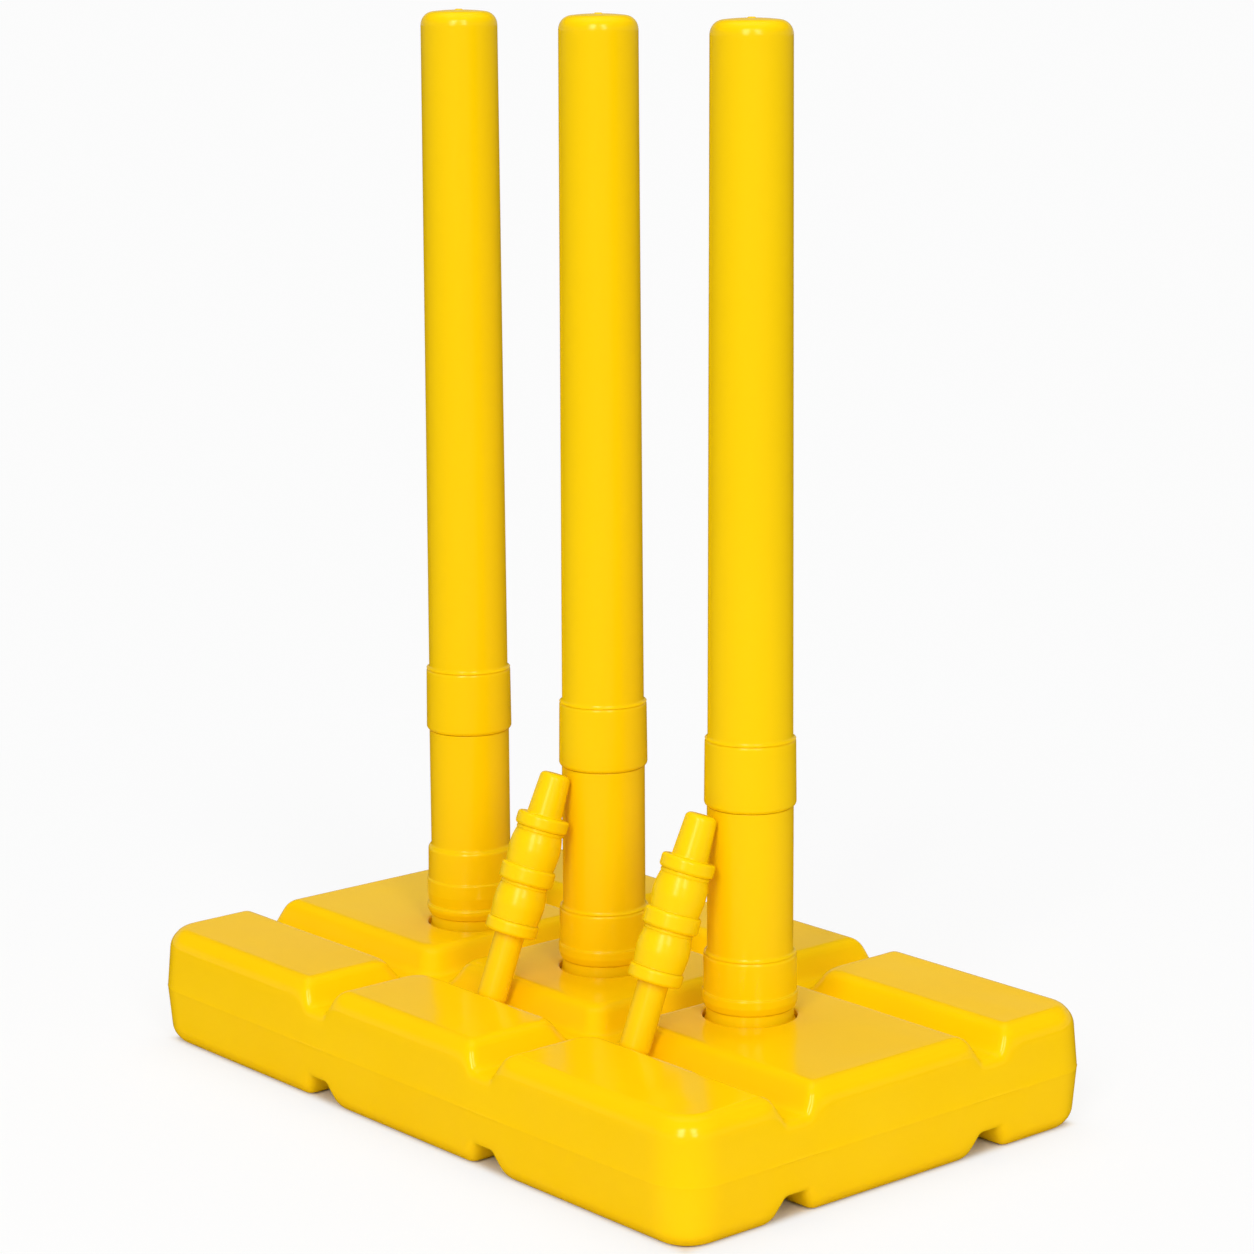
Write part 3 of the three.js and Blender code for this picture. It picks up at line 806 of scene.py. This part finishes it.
def make_floor():
    mesh = bpy.data.meshes.new("floor")
    signs = ((-1, -1), (1, -1), (1, 1), (-1, 1))
    corners = [(x * FLOOR_REACH, y * FLOOR_REACH, 0) for x, y in signs]
    mesh.from_pydata(corners, [], [(0, 1, 2, 3)])
    floor = bpy.data.objects.new("floor", mesh)
    bpy.context.collection.objects.link(floor)
    mesh.materials.append(floor_paint())


def floor_paint():
    """A pale paint that keeps the object's shadow near it and turns plain white far from it. The
    plastic reflects it dimly, in the colour of the light that the plastic itself throws on it."""
    material = bpy.data.materials.new("floor")
    material.use_nodes = True
    tree = material.node_tree
    shader = tree.nodes["Principled BSDF"]
    feed(tree, FLOOR_ROUGHNESS, shader.inputs["Roughness"])
    feed(tree, 0, shader.inputs["Specular IOR Level"])
    place = tree.nodes.new("ShaderNodeTexCoord").outputs["Object"]
    distance = tree.nodes.new("ShaderNodeVectorMath")
    distance.operation = "LENGTH"
    feed(tree, place, distance.inputs[0])
    fade = ranged(tree, distance.outputs["Value"], FADE_START, FADE_END, 0, 1, "SMOOTHSTEP")
    glossy = tree.nodes.new("ShaderNodeLightPath").outputs["Is Glossy Ray"]
    seen = background_rays(tree)

    white = tree.nodes.new("ShaderNodeEmission")
    feed(tree, mixed(tree, glossy, BACKDROP_WHITE, FLOOR_REFLECTED), white.inputs["Color"])
    grey = mixed(tree, fade, FLOOR_NEAR, FLOOR_FAR)
    shaded = mixed(tree, seen, grey, FLOOR_SHADED)
    feed(tree, mixed(tree, glossy, shaded, FLOOR_REFLECTED), shader.inputs["Base Color"])

    cover = ranged(tree, fade, 0, 1, SHADOW_COVER, 1)
    clear = maths(tree, "MULTIPLY", cover, clear_of_base(tree, place))
    mix = tree.nodes.new("ShaderNodeMixShader")
    feed(tree, maths(tree, "MULTIPLY", clear, seen), mix.inputs["Fac"])
    feed(tree, shader.outputs["BSDF"], mix.inputs[1])
    feed(tree, white.outputs["Emission"], mix.inputs[2])
    feed(tree, mix.outputs["Shader"], tree.nodes["Material Output"].inputs["Surface"])
    return material


def clear_of_base(tree, place):
    """0 on the floor under the base and 1 a little outside its foot, so that the shadow where they
    meet stays dark."""
    split = tree.nodes.new("ShaderNodeSeparateXYZ")
    feed(tree, place, split.inputs["Vector"])
    past = []
    for axis, half in (("X", HALF_LENGTH), ("Y", HALF_WIDTH)):
        from_middle = maths(tree, "ABSOLUTE", split.outputs[axis])
        past.append(maths(tree, "SUBTRACT", from_middle, (half - DRAFT_INSET - EDGE) * MM))
    return ranged(tree, maths(tree, "MAXIMUM", *past), 0, SHADOW_REACH * MM, 0, 1, "SMOOTHSTEP")


def background_rays(tree):
    """1 for camera, glossy and transmission rays, which see the backdrop, and 0 for others."""
    rays = tree.nodes.new("ShaderNodeLightPath").outputs
    seen = maths(tree, "MAXIMUM", rays["Is Camera Ray"], rays["Is Glossy Ray"])
    return maths(tree, "MAXIMUM", seen, rays["Is Transmission Ray"])


def make_world():
    """Plain ambient light. The camera sees a white backdrop, and the plastic reflects one that is light
    grey at the horizon, darker above it and nearly black overhead, like a wall under a dark ceiling."""
    world = bpy.data.worlds.new("studio")
    bpy.context.scene.world = world
    world.use_nodes = True
    tree = world.node_tree
    ambient = tree.nodes["Background"]
    feed(tree, (1, 1, 1), ambient.inputs["Color"])
    feed(tree, AMBIENT, ambient.inputs["Strength"])
    split = tree.nodes.new("ShaderNodeSeparateXYZ")
    feed(tree, tree.nodes.new("ShaderNodeTexCoord").outputs["Generated"], split.inputs["Vector"])
    shade = tree.nodes.new("ShaderNodeValToRGB")
    ramp = shade.color_ramp
    ramp.interpolation = "EASE"
    lowest, *between, highest = BACKDROP_REFLECTED
    for element, (elevation, grey) in zip(ramp.elements, (lowest, highest)):
        element.position = math.sin(math.radians(elevation))
        element.color = (grey, grey, grey, 1)
    for elevation, grey in between:
        element = ramp.elements.new(math.sin(math.radians(elevation)))
        element.color = (grey, grey, grey, 1)
    feed(tree, split.outputs["Z"], shade.inputs["Fac"])
    from_camera = tree.nodes.new("ShaderNodeLightPath").outputs["Is Camera Ray"]
    wall = tree.nodes.new("ShaderNodeBackground")
    feed(tree, mixed(tree, from_camera, shade.outputs["Color"], BACKDROP_WHITE), wall.inputs["Color"])
    mix = tree.nodes.new("ShaderNodeMixShader")
    feed(tree, background_rays(tree), mix.inputs["Fac"])
    feed(tree, ambient.outputs["Background"], mix.inputs[1])
    feed(tree, wall.outputs["Background"], mix.inputs[2])
    feed(tree, mix.outputs["Shader"], tree.nodes["World Output"].inputs["Surface"])


def away(azimuth, elevation):
    """The direction from the object at an azimuth, turned from -Y towards +X, and an elevation."""
    return Vector((
        math.sin(azimuth) * math.cos(elevation),
        -math.cos(azimuth) * math.cos(elevation),
        math.sin(elevation),
    ))


def softbox(name, turn, elevation, distance, width, height, power):
    """An area lamp that faces LAMP_AIM. turn is its azimuth from the camera's, both angles are in
    degrees, and its distance, width and height are in metres."""
    light = bpy.data.lights.new(name, "AREA")
    light.shape = "RECTANGLE"
    light.size = width
    light.size_y = height
    light.energy = power
    lamp = bpy.data.objects.new(name, light)
    bpy.context.collection.objects.link(lamp)
    back = away(CAMERA_YAW + math.radians(turn), math.radians(elevation))
    lamp.location = LAMP_AIM + back * distance
    lamp.rotation_mode = "QUATERNION"
    lamp.rotation_quaternion = back.to_track_quat("Z", "Y")
    return lamp


def make_lights():
    softbox("softbox_left", turn=-17, elevation=31, distance=4.5, width=1.1, height=3, power=88)
    softbox("softbox_right", turn=18, elevation=31, distance=4.5, width=0.9, height=3, power=63)
    overhead = softbox("softbox_overhead", turn=180, elevation=80, distance=3.5, width=3, height=3, power=76)
    overhead.visible_glossy = False


def make_camera():
    back = away(CAMERA_YAW, CAMERA_PITCH)
    level_right = Vector((0, 0, 1)).cross(back).normalized()
    level_up = back.cross(level_right)
    right = math.cos(CAMERA_ROLL) * level_right + math.sin(CAMERA_ROLL) * level_up
    up = math.cos(CAMERA_ROLL) * level_up - math.sin(CAMERA_ROLL) * level_right
    data = bpy.data.cameras.new("camera")
    data.sensor_width = SENSOR
    data.lens = FOCAL_PIXELS * SENSOR / FRAME_PIXELS
    data.clip_end = CAMERA_SIGHT
    camera = bpy.data.objects.new("camera", data)
    bpy.context.collection.objects.link(camera)
    camera.matrix_world = Matrix.Translation(CAMERA_AT) @ Matrix((right, up, back)).transposed().to_4x4()
    bpy.context.scene.camera = camera


make_camera()
build_pieces()
make_floor()
make_world()
make_lights()
bpy.context.scene.view_settings.view_transform = "Standard"
